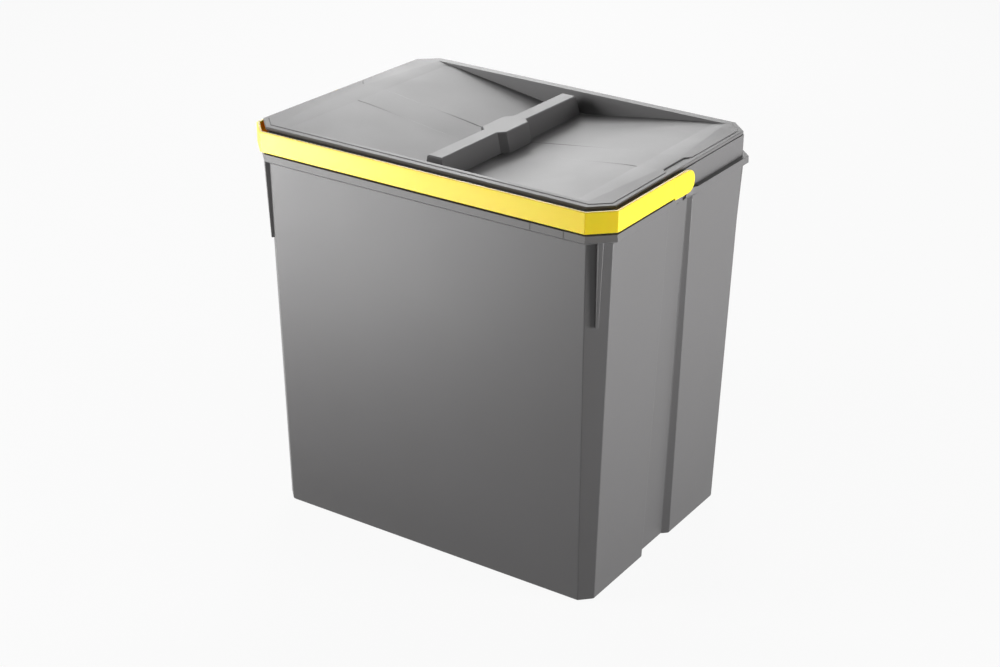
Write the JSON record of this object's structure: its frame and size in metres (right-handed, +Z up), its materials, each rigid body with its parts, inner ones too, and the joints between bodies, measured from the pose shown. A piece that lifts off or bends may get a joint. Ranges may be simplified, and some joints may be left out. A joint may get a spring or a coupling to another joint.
{
  "type": "waste bucket with lid",
  "caption": "Rectangular waste bucket with a lift-off lid that has a raised grip bar along its middle, and a swinging carry handle.",
  "frame": {"origin": "middle of the bucket's flat base", "axes": "+X to the right along the wide front, +Y from the front to the back, +Z up"},
  "size_m": [0.3462, 0.2523, 0.3478],
  "materials": {
    "bucket_plastic": "satin grey polypropylene",
    "lid_plastic": "satin grey polypropylene",
    "handle_plastic": "yellow polypropylene with a soft gloss"
  },
  "bodies": {
    "bucket": {"bucket": "bucket_plastic"},
    "lid": {"lid": "lid_plastic"},
    "carry_handle": {"carry_handle": "handle_plastic"}
  },
  "joints": [
    {"name": "lid_lift", "type": "slide", "parent": "bucket", "child": "lid", "axis": [0, 0, 1], "range_m": [0, 0.08]},
    {"name": "handle_swing", "type": "hinge", "parent": "bucket", "child": "carry_handle", "pos_m": [0, 0, 0.3366], "axis": [-1, 0, 0], "range_deg": [0, 180]}
  ]
}
